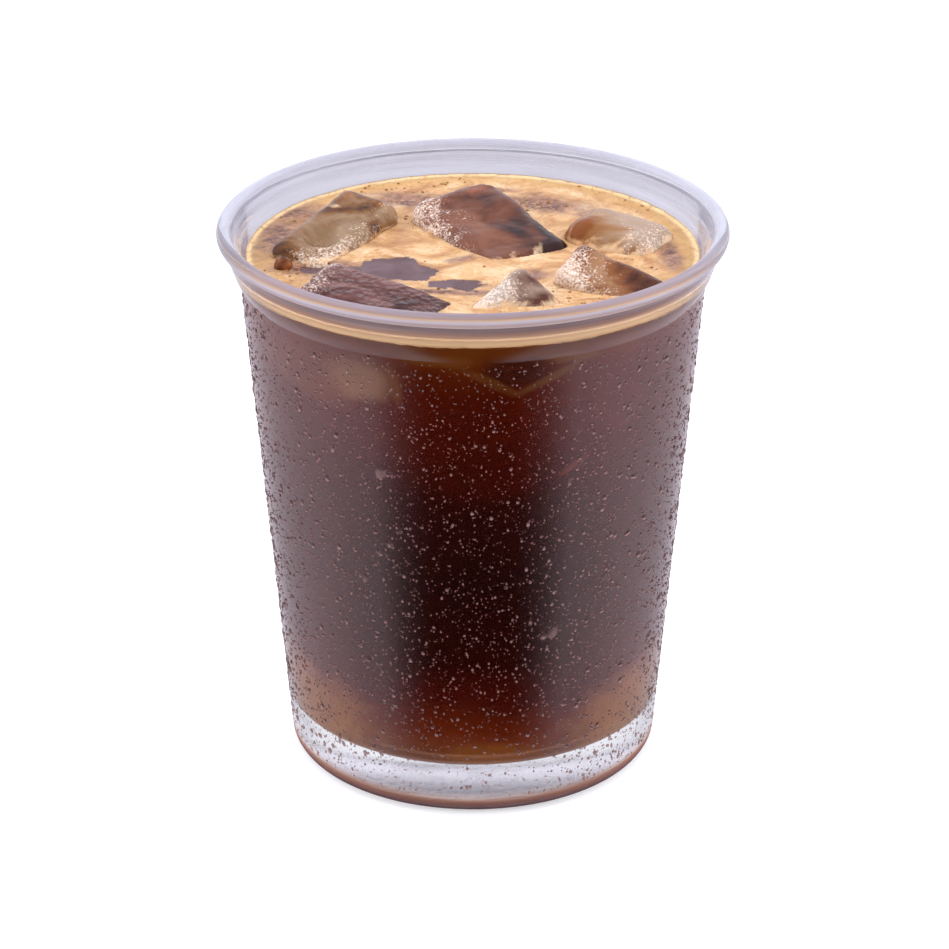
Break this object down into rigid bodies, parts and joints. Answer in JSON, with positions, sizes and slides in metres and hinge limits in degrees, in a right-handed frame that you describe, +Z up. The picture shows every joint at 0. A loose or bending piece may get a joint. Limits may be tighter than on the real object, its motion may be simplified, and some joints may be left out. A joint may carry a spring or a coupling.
{
  "type": "iced americano in a glass",
  "caption": "Iced black coffee in a clear tapered glass with a rolled rim: dark drink, tan crema and ice blocks standing out of it.",
  "frame": {"origin": "centre of the glass's foot, on the surface it stands on", "axes": "+Z up along the axis of the glass; -Y towards the side shown"},
  "size_m": [0.095, 0.095, 0.1061],
  "materials": {
    "glass": "clear pressed glass, misted and beaded with condensation on the outside",
    "coffee": "clear dark brown liquid",
    "crema": "fine tan foam with small bubbles",
    "ice": "wet clear ice, worn and hammered by melting"
  },
  "bodies": {
    "root": {"glass": "glass", "coffee": "coffee", "crema": "crema", "ice_back_left": "ice", "ice_back": "ice", "ice_right": "ice", "ice_right_front": "ice", "ice_front": "ice", "ice_left_front": "ice"}
  },
  "joints": []
}
